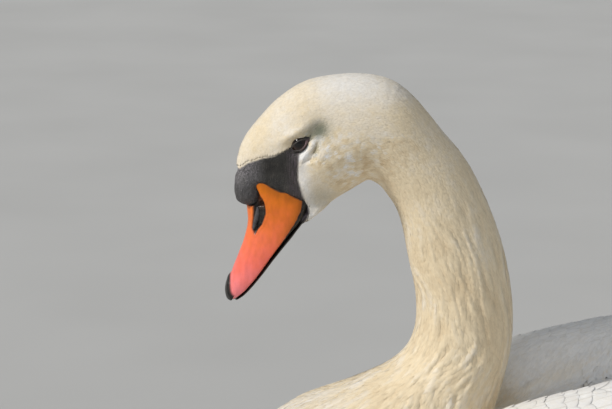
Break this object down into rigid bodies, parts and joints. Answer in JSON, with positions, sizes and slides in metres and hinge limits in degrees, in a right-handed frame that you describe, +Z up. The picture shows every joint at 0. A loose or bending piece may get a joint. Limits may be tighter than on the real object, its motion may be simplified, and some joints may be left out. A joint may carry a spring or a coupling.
{
  "type": "mute swan",
  "caption": "Life-size resting swan on its belly, neck raised in an S and bill held low, with a knobbed bill, folded wings, short tail and webbed feet.",
  "frame": {"origin": "centre of the bounding box at its bottom, on the plane the bird rests on", "axes": "+Z up; -Y the way the breast faces, +Y towards the tail tip; +X the bird's left. The bird is the same on both sides of the YZ plane."},
  "size_m": [0.357, 0.7718, 0.4734],
  "materials": {
    "plumage_white": "white contour and flight feathers, soft and matt; fabric stands in for plumage",
    "plumage_cream": "cream-stained short feathers of head and neck, matt; fabric stands in for plumage",
    "black_skin": "bare black skin of the face and knob, finely wrinkled, half matt",
    "orange_bill": "horn, orange at the base and coral pink towards the tip, satin; plastic stands in for horn",
    "eye_brown": "very dark brown eye, wet and glossy",
    "leg_black": "black scaled skin of the legs, toes and webs, half matt"
  },
  "bodies": {
    "root": {"head": "plumage_white", "face_mask": "black_skin", "eye_left": "eye_brown", "eye_right": "eye_brown", "neck_upper": "plumage_cream", "neck_middle": "plumage_cream", "neck_lower": "plumage_cream", "trunk": "plumage_white", "wing_left": "plumage_white", "wing_left_flight": "plumage_white", "wing_right": "plumage_white", "wing_right_flight": "plumage_white", "tail": "plumage_white", "bill_upper": "orange_bill", "bill_lower": "black_skin", "bill_knob": "black_skin", "bill_nail": "black_skin", "foot_left": "leg_black", "leg_left": "leg_black", "foot_right": "leg_black", "leg_right": "leg_black"}
  },
  "joints": []
}
